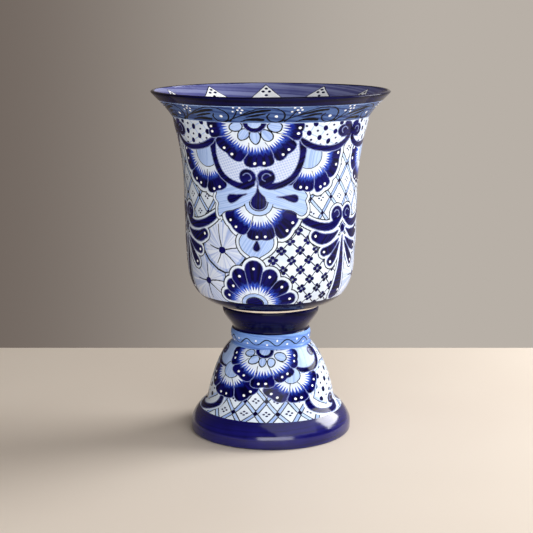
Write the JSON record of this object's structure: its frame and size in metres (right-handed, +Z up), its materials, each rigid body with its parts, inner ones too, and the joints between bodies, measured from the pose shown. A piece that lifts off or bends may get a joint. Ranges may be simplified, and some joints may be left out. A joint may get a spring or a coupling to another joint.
{
  "type": "talavera pottery vase",
  "caption": "Footed two-piece tin-glazed earthenware vase: a deep bell-shaped cup with a flared rim, resting on a flared pedestal with a moulded ring and a rounded foot.",
  "frame": {"origin": "centre of the foot ring, on the surface that the vase stands on", "axes": "+Z up along the axis that both pieces are thrown about; the middle of the painted front faces -Y"},
  "size_m": [0.417, 0.417, 0.61],
  "materials": {
    "painted_glaze": "gloss, hand painted cobalt on white tin glaze",
    "navy_glaze": "gloss, hand painted with a wide cobalt foot"
  },
  "bodies": {
    "pedestal": {"pedestal": "navy_glaze"},
    "cup": {"cup": "painted_glaze"}
  },
  "joints": [
    {"name": "cup_lift", "type": "slide", "parent": "pedestal", "child": "cup", "axis": [0, 0, 1], "range_m": [0, 0.12]}
  ]
}
